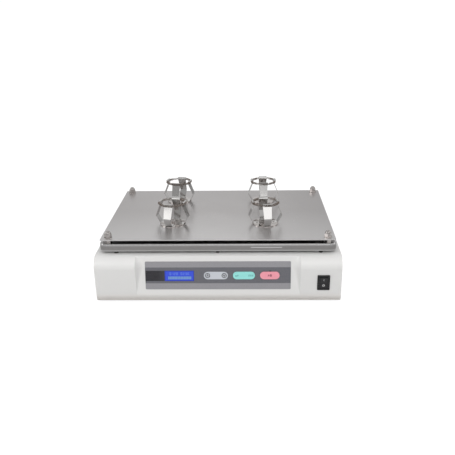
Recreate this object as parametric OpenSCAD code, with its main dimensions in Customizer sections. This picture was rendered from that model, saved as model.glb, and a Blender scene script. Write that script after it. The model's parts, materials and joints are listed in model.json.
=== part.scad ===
// Orbital laboratory shaker: a low casing with a tilted control panel, a drive that carries a
// twin-deck platform round a small circle without turning it, and four sprung flask clamps.
// Millimetres, +Z up. The origin is on the table under the centre of the casing, and the
// control panel faces -Y. The drive axis is the Z axis.

/* [Casing] */
// Width of the casing, side to side
case_w = 506; // [500:1:520]
// Height of the casing's lower edge above the table
case_z0 = 4.5; // [4:0.5:8]
// Height of the casing's top deck above the table
case_z1 = 105; // [104:0.5:106]
// Distance from the drive axis to the foremost line of the front
front_reach = 202; // [200:0.5:203]
// Distance from the drive axis to the outside of the rear panel
rear_reach = 199; // [197:1:205]
// Thickness of the sheet metal
sheet_t = 1.5; // [1:0.1:2]
// Thickness of the moulded front
fascia_t = 3; // [2.5:0.1:3.5]
// Radius of the curve between the top deck and the front
brow_r = 28; // [26:0.5:29]
// Radius along the casing's two upper side edges
side_r = 4; // [3:0.5:6]

/* [Control panel] */
// Width of the opening of the tilted recess
recess_w = 338; // [336:1:344]
// Sideways slope of the recess's end walls, per millimetre of depth
recess_slope = 1.35; // [1:0.05:1.4]
// Width of the keypad film
film_w = 299; // [290:1:300]
// Height of the keypad film, measured along the panel
film_h = 59.5; // [58:0.5:61]
// Thickness of the keypad film
film_t = 0.8; // [0.6:0.1:1]
// How far a key goes in
key_travel = 0.6; // [0.3:0.1:0.6]

/* [Drive] */
// Distance from the drive axis to the crank pin, half the orbit's diameter
throw = 10; // [8:0.5:10]
// Effective diameter of the large pulley
big_pulley_d = 120; // [110:1:124]
// Effective diameter of the motor pulley
small_pulley_d = 36; // [30:1:40]
// Distance from the drive axis to the motor axis
motor_x = 150; // [145:1:155]
// Sideways distance from the drive axis to a guide crank
guide_x = 185; // [180:1:188]
// Fore-and-aft distance from the drive axis to a guide crank
guide_y = 115; // [110:1:120]

/* [Platform] */
// Width of the upper deck
deck_w = 481; // [470:1:482]
// Width of the lower deck
tray_w = 485; // [476:1:486]
// Depth of both decks
deck_d = 350; // [340:1:352]
// Height of the lower deck's rim
tray_h = 16; // [15:0.5:17]
// Height of the lower deck's top face above the table
tray_top = 127; // [127:0.5:128]
// Open gap between the two decks
deck_gap = 7; // [5:0.5:8]
// Thickness of the upper deck
plate_t = 2; // [2:0.5:4]
// Distance from a deck's edges to its corner bolts
bolt_inset = 15; // [14:0.5:18]

/* [Flask clamps] */
// Side-to-side spacing of the clamps
clamp_px = 200; // [190:1:210]
// Fore-and-aft spacing of the clamps
clamp_py = 165; // [155:1:175]
// How far the clamps are set back from the platform's centre
clamp_setback = 8; // [0:1:10]
// Widest radius of the cage, at the bend of its fingers
cage_r = 36; // [35:0.5:40]
// Height of that bend above the platform
cage_bend_z = 19; // [17:0.5:22]
// Distance from the clamp's axis to the coil spring where it passes round a finger
spring_ring_r = 27.2; // [26.5:0.1:28.5]
// Height of the coil-spring ring above the platform
spring_ring_z = 48; // [45:1:52]
// Width of one finger at the base disc
finger_low_w = 14; // [12:0.5:16]
// Width of one finger at its top
finger_top_w = 19; // [16:0.5:19.5]

/* [Hidden] */
$fn = 64;

eps = 0.01;

// Front profile of the casing, as Y against Z: a quarter curve, a nearly flat face that leans in
// towards the table, and a tucked-in lower edge.
brow_z = case_z1 - brow_r;
brow_y = -front_reach + brow_r;
tuck_z = 19.2;
tuck_y = -197.6;
toe_y = -192.5;
function front_y(z) =
    z > brow_z ? brow_y - sqrt(max(0, pow(brow_r, 2) - pow(z - brow_z, 2)))
    : z > tuck_z ? tuck_y - (front_reach + tuck_y) * (z - tuck_z) / (brow_z - tuck_z)
    : toe_y + (tuck_y - toe_y) * sin(90 * (z - case_z0) / (tuck_z - case_z0));
seam_y = -165;
front_steps = concat([for (i = [0 : 6]) case_z0 + (tuck_z - case_z0) * i / 6],
    [for (a = [0 : 5 : 90]) brow_z + brow_r * sin(a)]);

// The recess's flat floor, from a line high on the brow down to the tuck.
floor_top = [-188, brow_z + sqrt(pow(brow_r, 2) - pow(-188 - brow_y, 2))];
floor_low = [tuck_y, tuck_z];
panel_tilt = atan((floor_top[0] - floor_low[0]) / (floor_top[1] - floor_low[1]));
function floor_y(z) = floor_low[0]
    + (floor_top[0] - floor_low[0]) * (z - floor_low[1]) / (floor_top[1] - floor_low[1]);

// Places on the panel, as [x, distance down the panel from the floor's top line].
film_v = 11;
lcd_at = [-79.3, 41.6];
lcd_size = [60.5, 22.5];
key_row_v = 41;
round_key_d = 10.4;
key_up_x = -21.1;
key_down_x = 13;
enter_x = [31, 53.3];
mode_x = [53.7, 76];
run_x = [86.6, 126.6];
key_h = 16;
key_gap = 0.3;
key_proud = 0.5;
key_depth = 2.4;
control_back = 20.4;
lcd_back = 10.4;
keypad_back = 7.4;
board_t = 1.6;
keypad_centre_x = 49;
control_holes = [for (x = [-105, 105], y = [-68, -14]) [x, y]];
lcd_holes = [for (x = [-36, 36], y = [-15.5, 15.5]) [lcd_at[0] + x, y - lcd_at[1]]];
keypad_holes = [for (x = [-80, 80], y = [-15.5, 15.5]) [keypad_centre_x + x, y - key_row_v]];
rocker_at = [216, 47.6];
rocker_lean = atan((front_reach + tuck_y) / (brow_z - tuck_z));
rocker_rest = 10;

// Heights inside the casing.
plate_z0 = 10;
plate_z1 = 12.5;
plate_x = case_w / 2 - 1.7;
plate_y = rear_reach - 1.6;
hem_screw_z = 18;
side_screw_y = [-120, 20, 160];
rear_screw_x = [-225, -75, 75, 225];
tongue_z = case_z1 - fascia_t - 1.7;
pulley_z = [67, 80];
belt_z = [69.5, 77.5];
web_t = 8;
drive_web_z = 92;
guide_web_z = 90;
drive_pin_d = 15;
guide_pin_d = 12;
deck_z0 = case_z1 - sheet_t;
tray_z0 = tray_top - tray_h;
tray_t = 2;
bend_r = 3.2;
corner_r = 14;
tray_under = tray_top - tray_t;
plate_low = tray_top + deck_gap;
plate_top = plate_low + plate_t;
running = 0.05;

// The crank pins point to the front at rest, which sets the platform forward by the throw.
pin = [0, -throw];
guides = [[-guide_x, -guide_y], [guide_x, -guide_y], [-guide_x, guide_y], [guide_x, guide_y]];
foot_at = [[-205, -158], [205, -158], [-205, 158], [205, 158]];
motor_at = [-motor_x, 0];
bolt_x = deck_w / 2 - bolt_inset;
bolt_y = deck_d / 2 - bolt_inset;
clamps = [[-clamp_px / 2, pin[1] + clamp_setback - clamp_py / 2],
    [clamp_px / 2, pin[1] + clamp_setback - clamp_py / 2],
    [-clamp_px / 2, pin[1] + clamp_setback + clamp_py / 2],
    [clamp_px / 2, pin[1] + clamp_setback + clamp_py / 2]];
clamp_turn = [-14, 8, -11, 1];
fascia_screw_x = [-209, 0, 211];
fascia_screw_y = -176;
inlet_at = [165, 46];
finger_t = 1;

// Two internal leads, as points chosen by hand.
mains_route = [[165, 168.2, 46], [165.2, 163, 45.5], [177, 156, 34], [222, 150, 22], [236, 110, 19],
    [236, 0, 18],
    [236, -110, 19], [234, -140, 24], [226, -158, 36], [216, -171, 44]];
motor_route = [[-150, -41.5, 26], [-148, -56, 17], [-120, -84, 16], [-60, -112, 16], [-16, -132, 18],
    [2, -152, 32], [10, -171.4, 41]];

// ---------------------------------------------------------------- shared shapes

module rounded_rect(w, d, r) {
    square([w - 2 * r, d], center = true);
    square([w, d - 2 * r], center = true);
    for (x = [-1, 1], y = [-1, 1]) translate([x * (w / 2 - r), y * (d / 2 - r)]) circle(r);
}

module pill(w, h) {
    square([w - h, h], center = true);
    for (x = [-1, 1]) translate([x * (w - h) / 2, 0]) circle(h / 2);
}

module at_corners(x, y) {
    for (sx = [-1, 1], sy = [-1, 1]) translate([sx * x, sy * y, 0]) children();
}

module ring(od, id, h) {
    difference() {
        cylinder(d = od, h = h);
        translate([0, 0, -1]) cylinder(d = id, h = h + 2);
    }
}

// A cross-headed screw with its seat at z = 0 and its shank going down.
module pan_screw(head_d, head_h, shank_d, shank_l) {
    difference() {
        union() {
            cylinder(d = head_d, h = head_h * 0.45);
            translate([0, 0, head_h * 0.45]) cylinder(d1 = head_d, d2 = head_d * 0.62, h = head_h * 0.55);
        }
        for (a = [0, 90]) rotate(a) translate([0, 0, head_h])
            cube([head_d * 0.5, head_d * 0.13, head_h], center = true);
    }
    translate([0, 0, -shank_l]) cylinder(d = shank_d, h = shank_l + eps);
}

// A socket-headed screw, the same way up.
module cap_screw(head_d, head_h, shank_d, shank_l) {
    difference() {
        cylinder(d = head_d, h = head_h);
        translate([0, 0, head_h * 0.5]) cylinder(d = head_d * 0.55, h = head_h, $fn = 6);
    }
    translate([0, 0, -shank_l]) cylinder(d = shank_d, h = shank_l + eps);
}

// Local frame of the tilted panel: x to the right, y up the panel, z out of it.
module on_panel() {
    translate([0, floor_top[0], floor_top[1]]) rotate([90 - panel_tilt, 0, 0]) children();
}

module on_front(x, z) {
    translate([x, front_y(z), z]) rotate([90 + rocker_lean, 0, 0]) children();
}

// Local frame of the rear panel's outside: x to the left seen from behind, y up, z out.
module on_rear(x, z) {
    translate([x, rear_reach, z]) rotate([90, 0, 180]) children();
}

// A round tube along points that a Catmull-Rom curve passes through.
function spline(p, i, t) =
    let (a = p[max(0, i - 1)], b = p[i], c = p[i + 1], d = p[min(len(p) - 1, i + 2)])
    0.5 * (2 * b + (c - a) * t + (2 * a - 5 * b + 4 * c - d) * t * t
        + (3 * b - 3 * c + d - a) * t * t * t);
function smooth(p, n) = concat([for (i = [0 : len(p) - 2], k = [0 : n - 1]) spline(p, i, k / n)],
    [p[len(p) - 1]]);
function unit(v) = v / norm(v);

module tube(route, r, n) {
    path = smooth(route, n);
    last = len(path) - 1;
    sides = 8;
    points = [for (i = [0 : last]) let (
            along = unit(path[min(last, i + 1)] - path[max(0, i - 1)]),
            u = unit(cross(along, [0.3, 0.2, 1])), v = cross(along, u))
        for (k = [0 : sides - 1]) path[i] + r * (cos(360 * k / sides) * u + sin(360 * k / sides) * v)];
    polyhedron(points, concat(
        [[for (k = [0 : sides - 1]) k]],
        [for (i = [0 : last - 1], k = [0 : sides - 1]) let (m = (k + 1) % sides)
            [i * sides + k, (i + 1) * sides + k, (i + 1) * sides + m, i * sides + m]],
        [[for (k = [sides - 1 : -1 : 0]) last * sides + k]]), convexity = 6);
}

// ---------------------------------------------------------------- casing

// Solid of the front seen from the side, drawn inwards by t all round.
module front_block(t) {
    rotate([90, 0, 90]) translate([0, 0, -case_w / 2 + t]) linear_extrude(case_w - 2 * t)
        polygon(concat([for (z = front_steps) [front_y(z) + t, min(z, case_z1 - t)]],
            [[seam_y + (t > 0 ? 1 : 0), case_z1 - t], [seam_y + (t > 0 ? 1 : 0), case_z0 - (t > 0 ? 1 : 0)],
            [front_y(case_z0) + t, case_z0 - (t > 0 ? 1 : 0)]]));
}

// Everything inside the casing's end view, whose two upper corners are rounded.
module end_view(t, y0, y1) {
    w = case_w - 2 * t;
    r = max(side_r - t, 0.5);
    translate([0, y1, 0]) rotate([90, 0, 0]) linear_extrude(y1 - y0) {
        translate([-w / 2, -5]) square([w, case_z1 - t - r + 5]);
        translate([-w / 2 + r, -5]) square([w - 2 * r, case_z1 - t + 5]);
        for (x = [-1, 1]) translate([x * (w / 2 - r), case_z1 - t - r]) circle(r);
    }
}

// The block that the recess removes. Its end walls are hollow curves that run out into its flat
// floor. t makes it larger, to leave a wall behind the recess.
module recess_cut(t) {
    n = 22;
    arc = 5;
    wall_hollow = 1.6;
    out = 6;
    z_low = floor_low[1] - t;
    z_top = floor_top[1] + t;
    half = recess_w / 2 + t * 1.2;
    rows = [for (i = [0 : n]) z_low + (z_top - z_low) * i / n];
    edge = 2 * arc + 4;
    points = [for (z = rows) let (
            zs = min(max(z, floor_low[1]), floor_top[1]), face = front_y(zs), back = floor_y(z) + t,
            deep = max(0, floor_y(zs) - face), reach = recess_slope * deep,
            curve = [for (a = [0 : arc]) [half - reach * a / arc,
                face + (back - face) * (1 - pow(1 - a / arc, wall_hollow))]],
            side = concat([[half + recess_slope * out, face - out]], curve))
        for (p = concat([for (q = side) [-q[0], q[1]]], [for (k = [arc + 1 : -1 : 0]) side[k]]))
            [p[0], p[1], z]];
    polyhedron(points, concat([[for (k = [edge - 1 : -1 : 0]) k]],
        [for (i = [0 : n - 1], k = [0 : edge - 1]) let (m = (k + 1) % edge)
            [edge * i + m, edge * i + edge + m, edge * i + edge + k]],
        [for (i = [0 : n - 1], k = [0 : edge - 1]) let (m = (k + 1) % edge)
            [edge * i + m, edge * i + edge + k, edge * i + k]],
        [[for (k = [0 : edge - 1]) edge * n + k]]), convexity = 4);
}

// Moulded bosses that carry a circuit board behind the recess.
module boss_row(holes, d, back) on_panel() for (h = holes)
    translate([h[0], h[1], -back]) cylinder(d = d, h = back - fascia_t + 0.5);

module front_fascia() color("gainsboro") difference() {
    union() {
        difference() {
            intersection() {
                front_block(0);
                end_view(0, -front_reach - 1, seam_y);
            }
            recess_cut(0);
            difference() {
                intersection() {
                    front_block(fascia_t);
                    end_view(fascia_t, -front_reach - 1, seam_y + 2);
                }
                recess_cut(fascia_t);
            }
        }
        boss_row(control_holes, 6, control_back);
        boss_row(lcd_holes, 4, lcd_back);
        boss_row(keypad_holes, 4, keypad_back);
    }
    on_panel() translate([(lcd_at[0] + run_x[1]) / 2 - 13, -key_row_v, -3])
        cube([run_x[1] - lcd_at[0] + 36, lcd_size[1] + 3, 12], center = true);
    on_front(rocker_at[0], rocker_at[1]) cube([22.4, 28.4, 30], center = true);
    for (x = fascia_screw_x) translate([x, fascia_screw_y, deck_z0 - 5]) cylinder(d = 4.4, h = 12);
}

// A stepped tongue along the cover's front edge passes under the moulded front and takes its screws.
module main_cover() color("whitesmoke") difference() {
    union() {
        difference() {
            end_view(0, seam_y, rear_reach);
            end_view(sheet_t, seam_y - 1, rear_reach + 1);
        }
        translate([-238, -182, tongue_z]) cube([476, 22, sheet_t]);
        translate([-238, -163.5, tongue_z]) cube([476, 3.5, deck_z0 - tongue_z + eps]);
    }
    translate([-case_w, seam_y - 1, -10]) cube([2 * case_w, 2 * rear_reach + 10, 10 + case_z0]);
    for (x = fascia_screw_x) translate([x, fascia_screw_y, tongue_z - 1]) cylinder(d = 4.2, h = 3);
    translate([0, 0, deck_z0 - 1]) cylinder(d = 46, h = 5);
    for (g = guides) translate([g[0], g[1], deck_z0 - 1]) cylinder(d = 42, h = 5);
    for (s = [-1, 1], y = side_screw_y) translate([s * case_w / 2, y, hem_screw_z])
        rotate([0, 90, 0]) cylinder(d = 3.6, h = 12, center = true);
}

module rear_panel() color("whitesmoke") difference() {
    union() {
        translate([-case_w / 2 + sheet_t, rear_reach - sheet_t, case_z0])
            cube([case_w - 2 * sheet_t, sheet_t, case_z1 - case_z0 - side_r]);
        translate([-case_w / 2 + side_r, rear_reach - sheet_t, case_z0])
            cube([case_w - 2 * side_r, sheet_t, case_z1 - case_z0 - sheet_t]);
    }
    on_rear(inlet_at[0], inlet_at[1]) cube([30, 36, 10], center = true);
    for (x = [-20, 20]) on_rear(inlet_at[0] + x, inlet_at[1]) cylinder(d = 3.4, h = 8, center = true);
    for (side = [-1, 1], i = [0 : 8]) on_rear(-30 + side * 70 + (i - 4) * 11, 62)
        translate([0, 0, -4]) linear_extrude(8) rotate(90) pill(34, 4);
    for (x = rear_screw_x) on_rear(x, hem_screw_z) cylinder(d = 3.6, h = 8, center = true);
}

module base_plate() color("darkgray") difference() {
    union() {
        translate([-plate_x + 2, -190, plate_z0]) cube([2 * plate_x - 4, 100, plate_z1 - plate_z0]);
        translate([-plate_x, -160, plate_z0]) cube([2 * plate_x, plate_y + 160, plate_z1 - plate_z0]);
        for (s = [-1, 1])
            translate([s * (plate_x - 1.2) - 1.2, -160, plate_z0]) cube([2.4, plate_y + 160, 14]);
        translate([-plate_x, plate_y - 2.4, plate_z0]) cube([2 * plate_x, 2.4, 14]);
    }
    for (f = foot_at) translate([f[0], f[1], 0]) cylinder(d = 5.3, h = 30);
    for (a = [0 : 3]) rotate(45 + 90 * a) translate([38, 0, 0]) cylinder(d = 5.3, h = 30);
    for (g = guides, a = [0 : 3]) translate([g[0], g[1], 0]) rotate(90 * a) translate([26, 0, 0])
        cylinder(d = 5.3, h = 30);
    for (s = [-1, 1], y = side_screw_y) translate([s * plate_x, y, hem_screw_z])
        rotate([0, 90, 0]) cylinder(d = 3.4, h = 12, center = true);
    for (x = rear_screw_x) translate([x, plate_y, hem_screw_z])
        rotate([90, 0, 0]) cylinder(d = 3.4, h = 12, center = true);
}

module rubber_feet() color("dimgray") for (f = foot_at) translate([f[0], f[1], 0]) difference() {
    cylinder(d1 = 26, d2 = 30, h = plate_z0);
    translate([0, 0, -1]) cylinder(d = 12, h = 5.5);
    cylinder(d = 5.3, h = 30);
}

module foot_screws() color("silver") for (f = foot_at) translate([f[0], f[1], 4.5]) rotate([180, 0, 0])
    pan_screw(9.5, 3, 5, 10);

module fascia_screws() color("silver") for (x = fascia_screw_x)
    translate([x, fascia_screw_y, case_z1]) pan_screw(8.4, 2.8, 4, 9);

module side_screws() color("silver") for (s = [-1, 1], y = side_screw_y)
    translate([s * case_w / 2, y, hem_screw_z]) rotate([0, 90 * s, 0]) pan_screw(7.6, 2.2, 3.2, 7);

module rear_screws() color("silver") for (x = rear_screw_x)
    on_rear(x, hem_screw_z) pan_screw(7.6, 2.2, 3.2, 7);

// ---------------------------------------------------------------- control panel

module key_shape(span) {
    r = key_h / 2;
    left_round = span == enter_x || span == run_x;
    right_round = span == mode_x || span == run_x;
    x0 = span[0] + (left_round ? r : 0);
    x1 = span[1] - (right_round ? r : 0);
    translate([x0, -r]) square([x1 - x0, key_h]);
    if (left_round) translate([x0, 0]) circle(r);
    if (right_round) translate([x1, 0]) circle(r);
}

module keypad_film() color("slategray") on_panel() difference() {
    translate([0, -film_v - film_h / 2, eps]) linear_extrude(film_t - eps) rounded_rect(film_w, film_h, 2);
    translate([lcd_at[0], -lcd_at[1], -1]) linear_extrude(3) square(lcd_size, center = true);
    translate([0, -key_row_v, -1]) {
        for (x = [key_up_x, key_down_x])
            translate([x, 0, 0]) cylinder(d = round_key_d + 2 * key_gap, h = 3);
        translate([(enter_x[0] + mode_x[1]) / 2, 0, 0]) linear_extrude(3)
            pill(mode_x[1] - enter_x[0] + 2 * key_gap, key_h + 2 * key_gap);
        translate([(run_x[0] + run_x[1]) / 2, 0, 0]) linear_extrude(3)
            pill(run_x[1] - run_x[0] + 2 * key_gap, key_h + 2 * key_gap);
    }
}

module display_window() color("royalblue") on_panel() translate([lcd_at[0], -lcd_at[1], -0.6])
    linear_extrude(film_t + 0.6) square([lcd_size[0] - 0.1, lcd_size[1] - 0.1], center = true);

module lcd_module() color("midnightblue") on_panel() translate([lcd_at[0], -lcd_at[1], 0]) {
    translate([-39, -18, -lcd_back - board_t]) cube([78, 36, board_t]);
    translate([-33, -12.5, -lcd_back - eps]) cube([66, 25, 6.8]);
}

module keypad_board() color("seagreen") on_panel()
    translate([keypad_centre_x - 83, -key_row_v - 18, -keypad_back - board_t]) cube([166, 36, board_t]);

module key_switches() color("black") on_panel()
    for (x = [key_up_x, key_down_x, 40, 67, 106.6]) translate([x, -key_row_v, -keypad_back]) {
        translate([-3, -3, 0]) cube([6, 6, 3.2]);
        translate([0, 0, 3.2 - eps]) cylinder(d = 3.4, h = keypad_back - 3.3 - key_depth - key_travel);
    }

module control_board() color("seagreen") on_panel() {
    translate([-110, -72, -control_back - board_t]) cube([220, 62, board_t]);
    for (c = [[-90, -60, 26, 18, 6], [-50, -62, 14, 14, 2.2], [-20, -40, 20, 8, 3], [20, -64, 24, 24, 2.2],
        [60, -40, 16, 16, 5], [78, -66, 20, 14, 6]])
        translate([c[0], c[1], -control_back - eps]) cube([c[2], c[3], c[4]]);
}

module round_key(x, colour) color(colour) on_panel() translate([x, -key_row_v, -key_depth])
    cylinder(d = round_key_d, h = key_depth + film_t + key_proud);

module flat_key(span, colour) color(colour) on_panel() translate([0, -key_row_v, -key_depth])
    linear_extrude(key_depth + film_t + key_proud) key_shape(span);

module rocker_frame() color("black") on_front(rocker_at[0], rocker_at[1]) difference() {
    union() {
        translate([0, 0, eps]) linear_extrude(2.2) rounded_rect(25.4, 33.6, 1.6);
        translate([-10.9, -13.9, -20]) cube([21.8, 27.8, 20.5]);
        for (x = [-6, 6], y = [-8, 0, 8]) translate([x - 0.4, y - 2.4, -28]) cube([0.8, 4.8, 9]);
    }
    translate([-10, -13.3, -9]) cube([20, 26.6, 20]);
}

// The button turns on a cross pin through its centre. At rest its lower half is pressed in.
module rocker_button() color("#222222") on_front(rocker_at[0], rocker_at[1])
    rotate([rocker_rest, 0, 0]) rotate([90, 0, 90]) translate([0, 0, -9.5]) linear_extrude(19)
        intersection() {
            circle(12.8);
            polygon([[-14, 4.2], [0, 2.4], [14, 4.2], [14, -1], [4, -7], [-4, -7], [-14, -1]]);
        }

// ---------------------------------------------------------------- power and motor

module mains_inlet() color("#1c1c1c") on_rear(inlet_at[0], inlet_at[1]) difference() {
    union() {
        linear_extrude(3) rounded_rect(50, 42, 3);
        translate([-14.6, -17.6, -30]) cube([29.2, 35.2, 31]);
    }
    // Socket with its two bevelled corners, in the upper part.
    translate([0, 6, -14]) linear_extrude(20)
        polygon([[-12.2, -8.2], [12.2, -8.2], [12.2, 3.4], [7.4, 8.2], [-7.4, 8.2], [-12.2, 3.4]]);
    // Pocket of the fuse drawer, below it.
    translate([-12.2, -14.6, -24]) cube([24.4, 9.2, 30]);
    for (x = [-20, 20]) translate([x, 0, -5]) cylinder(d = 3.4, h = 12);
}

module inlet_pins() color("silver") on_rear(inlet_at[0], inlet_at[1])
    for (p = [[-7, 3.5], [7, 3.5], [0, 9]]) translate([p[0] - 1, p[1] - 2, -14]) cube([2, 4, 9]);

module inlet_screws() color("silver") for (x = [-20, 20])
    on_rear(inlet_at[0] + x, inlet_at[1]) translate([0, 0, 3]) pan_screw(6, 1.8, 3, 9);

module fuse_drawer() color("#2b2b2b") on_rear(inlet_at[0], inlet_at[1]) difference() {
    union() {
        translate([-12, -14.4, -22]) cube([24, 8.8, 23.4]);
        translate([-5, -13.2, 1.3]) cube([10, 2, 1.4]);
    }
    translate([-9.6, -12.8, -20]) cube([19.2, 9, 17]);
}

module power_supply() color("silver") translate([132, 4, 0]) {
    translate([-46, -62, 18]) cube([92, 124, 1.6]);
    at_corners(41, 57) translate([0, 0, plate_z1]) cylinder(d = 7, h = 18 - plate_z1 + eps);
    translate([-36, -30, 19.5]) cube([44, 56, 38]);
    for (y = [-48, 42]) translate([28, y, 19.5]) cylinder(d = 18, h = 32);
    translate([16, -28, 19.5]) cube([4, 60, 30]);
    translate([-40, -56, 19.5]) cube([40, 12, 12]);
}

module motor() color("dimgray") translate([motor_at[0], motor_at[1], 0]) difference() {
    union() {
        translate([0, 0, 15]) cylinder(d = 72, h = 43);
        translate([0, 0, 58]) cylinder(d = 66, h = 2.5);
        translate([-9, -40, 18]) cube([18, 12, 16]);
    }
    translate([0, 0, 40]) cylinder(d = 10 + 2 * running, h = 40);
    for (a = [0 : 3]) rotate(45 + 90 * a) translate([25, 0, 50]) cylinder(d = 4.2, h = 20);
}

module motor_bracket() color("lightsteelblue") translate([motor_at[0], motor_at[1], 0]) difference() {
    union() {
        translate([0, 0, 60.5]) linear_extrude(3) rounded_rect(104, 92, 6);
        at_corners(45, 39) translate([0, 0, plate_z1]) cylinder(d = 10, h = 60.5 - plate_z1 + eps);
    }
    translate([0, 0, 55]) cylinder(d = 30, h = 20);
    for (a = [0 : 3]) rotate(45 + 90 * a) translate([25, 0, 50]) cylinder(d = 4.4, h = 20);
}

module motor_screws() color("silver") translate([motor_at[0], motor_at[1], 63.5])
    for (a = [0 : 3]) rotate(45 + 90 * a) translate([25, 0, 0]) pan_screw(7, 2.2, 4, 9);

module motor_shaft() color("silver") translate([motor_at[0], motor_at[1], 42]) cylinder(d = 10, h = 42);

module grooved_pulley(d, bore, hub_d, z0, z1) difference() {
    union() {
        translate([0, 0, z0]) cylinder(d = d + 5, h = 2);
        translate([0, 0, z0]) cylinder(d = d, h = z1 - z0);
        translate([0, 0, z1 - 2]) cylinder(d = d + 5, h = 2);
    }
    translate([0, 0, z0 - 1]) cylinder(d = bore, h = z1 - z0 + 2);
    if (d > 80) {
        translate([0, 0, z1 - 4.5]) ring(d - 12, hub_d, 10);
        for (a = [0 : 5])
            rotate(60 * a) translate([(d - 12 + hub_d) / 4, 0, z0 - 1]) cylinder(d = 18, h = 20);
    }
}

module drive_pulley() color("gray") grooved_pulley(big_pulley_d, drive_pin_d, 36, pulley_z[0], pulley_z[1]);

module motor_pulley() color("gray") translate([motor_at[0], motor_at[1], 0])
    grooved_pulley(small_pulley_d, 10, 18, pulley_z[0], pulley_z[1]);

// Outline of an open belt round both pulleys, drawn outwards by t.
module belt_outline(t) {
    r0 = big_pulley_d / 2 + t;
    r1 = small_pulley_d / 2 + t;
    lap = acos((r0 - r1) / motor_x);
    polygon(concat(
        [for (i = [0 : 48]) let (a = -(180 - lap) + (360 - 2 * lap) * i / 48) r0 * [cos(a), sin(a)]],
        [for (i = [0 : 24]) let (a = 180 - lap + 2 * lap * i / 24) motor_at + r1 * [cos(a), sin(a)]]));
}

module drive_belt() color("#303030") translate([0, 0, belt_z[0]]) linear_extrude(belt_z[1] - belt_z[0])
    difference() {
        belt_outline(2.2);
        belt_outline(0.3);
    }

// ---------------------------------------------------------------- cranks and bearings

// Flanged pillar that holds two bearings, one at each end of the bore.
module pillar(od, flange_d, seat_d, bearing_t, top_z, land_d, bolts_r, first) difference() {
    union() {
        translate([0, 0, plate_z1]) cylinder(d = flange_d, h = 6);
        translate([0, 0, plate_z1]) cylinder(d = od, h = top_z - plate_z1);
    }
    translate([0, 0, 0]) cylinder(d = seat_d, h = 20 + bearing_t);
    translate([0, 0, 0]) cylinder(d = land_d, h = top_z + 1);
    translate([0, 0, top_z - bearing_t]) cylinder(d = seat_d, h = bearing_t + 1);
    for (a = [0 : 3]) rotate(first + 90 * a) translate([bolts_r, 0, 0]) cylinder(d = 5.3, h = 30);
}

drive_top = 62;
guide_top = 88;
drive_brg = [15, 35, 11];
guide_brg = [12, 28, 8];

module drive_housing() color("lightslategray")
    pillar(50, 92, drive_brg[1], drive_brg[2], drive_top, 29, 38, 45);

module guide_housings() color("lightslategray") for (g = guides) translate([g[0], g[1], 0])
    pillar(40, 64, guide_brg[1], guide_brg[2], guide_top, 22, 26, 0);

// A sealed ball bearing, with its running clearance on the shaft and shallow seal grooves.
module bearing(b, z) translate([0, 0, z]) difference() {
    ring(b[1], b[0] + 2 * running, b[2]);
    for (s = [-0.5, b[2] - 0.5]) translate([0, 0, s]) ring(b[1] - 5, b[0] + 6, 1);
}

module lower_bearings() color("silver") {
    bearing(drive_brg, 20);
    bearing(drive_brg, drive_top - drive_brg[2]);
    for (g = guides) translate([g[0], g[1], 0]) {
        bearing(guide_brg, 20);
        bearing(guide_brg, guide_top - guide_brg[2]);
    }
}

module housing_bolts() color("silver") {
    for (a = [0 : 3]) rotate(45 + 90 * a) translate([38, 0, plate_z1 + 6]) cap_screw(8.5, 5, 5, 8.4);
    for (g = guides, a = [0 : 3]) translate([g[0], g[1], plate_z1 + 6]) rotate(90 * a)
        translate([26, 0, 0]) cap_screw(8.5, 5, 5, 8.4);
}

// Journal, round web and offset pin in one piece.
module crank(d, web_d, web_z, top_z) {
    translate([0, 0, 17]) cylinder(d = d, h = web_z - 17 + eps);
    translate([0, 0, web_z]) cylinder(d = web_d, h = web_t);
    translate([pin[0], pin[1], web_z + web_t - eps]) cylinder(d = d, h = top_z - web_z - web_t);
}

module drive_shaft() color("silver") difference() {
    crank(drive_pin_d, 46, drive_web_z, 123.5);
    for (x = [-9, 9]) translate([x, 14, 80]) cylinder(d = 4.2, h = 30);
}

module guide_crank(i) color("silver") translate([guides[i][0], guides[i][1], 0])
    crank(guide_pin_d, 40, guide_web_z, 121);

module counterweight() color("dimgray") translate([0, 0, 81.5]) difference() {
    intersection() {
        cylinder(d = 116, h = 10.5);
        translate([-60, -9, -1]) cube([120, 80, 20]);
    }
    translate([0, 0, -1]) cylinder(d = drive_pin_d, h = 20);
    for (x = [-9, 9]) translate([x, 14, -1]) cylinder(d = 4.2, h = 20);
}

module counterweight_screws() color("silver") for (x = [-9, 9])
    translate([x, 14, drive_web_z + web_t]) cap_screw(7, 3, 4, 17);

// ---------------------------------------------------------------- platform

module upper_housings() color("lightslategray") {
    translate([pin[0], pin[1], 109]) difference() {
        cylinder(d = 58, h = tray_under - 109);
        translate([0, 0, -1]) cylinder(d = drive_brg[1], h = 14);
        cylinder(d = 26, h = 40);
        for (a = [0 : 3]) rotate(45 + 90 * a) translate([23, 0, 4]) cylinder(d = 4.2, h = 30);
    }
    for (g = guides) translate([g[0] + pin[0], g[1] + pin[1], 109]) difference() {
        cylinder(d = 46, h = tray_under - 109);
        translate([0, 0, -1]) cylinder(d = guide_brg[1], h = 11);
        cylinder(d = 20, h = 40);
        for (a = [0 : 3]) rotate(45 + 90 * a) translate([18.5, 0, 4]) cylinder(d = 4.2, h = 30);
    }
}

module upper_bearings() color("silver") {
    translate([pin[0], pin[1], 0]) bearing(drive_brg, 111);
    for (g = guides) translate([g[0] + pin[0], g[1] + pin[1], 0]) bearing(guide_brg, 111);
}

module each_tray_screw() {
    for (a = [0 : 3]) translate([pin[0], pin[1], 0]) rotate(45 + 90 * a) translate([23, 0, 0]) children();
    for (g = guides, a = [0 : 3]) translate([g[0] + pin[0], g[1] + pin[1], 0]) rotate(45 + 90 * a)
        translate([18.5, 0, 0]) children();
}

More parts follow.
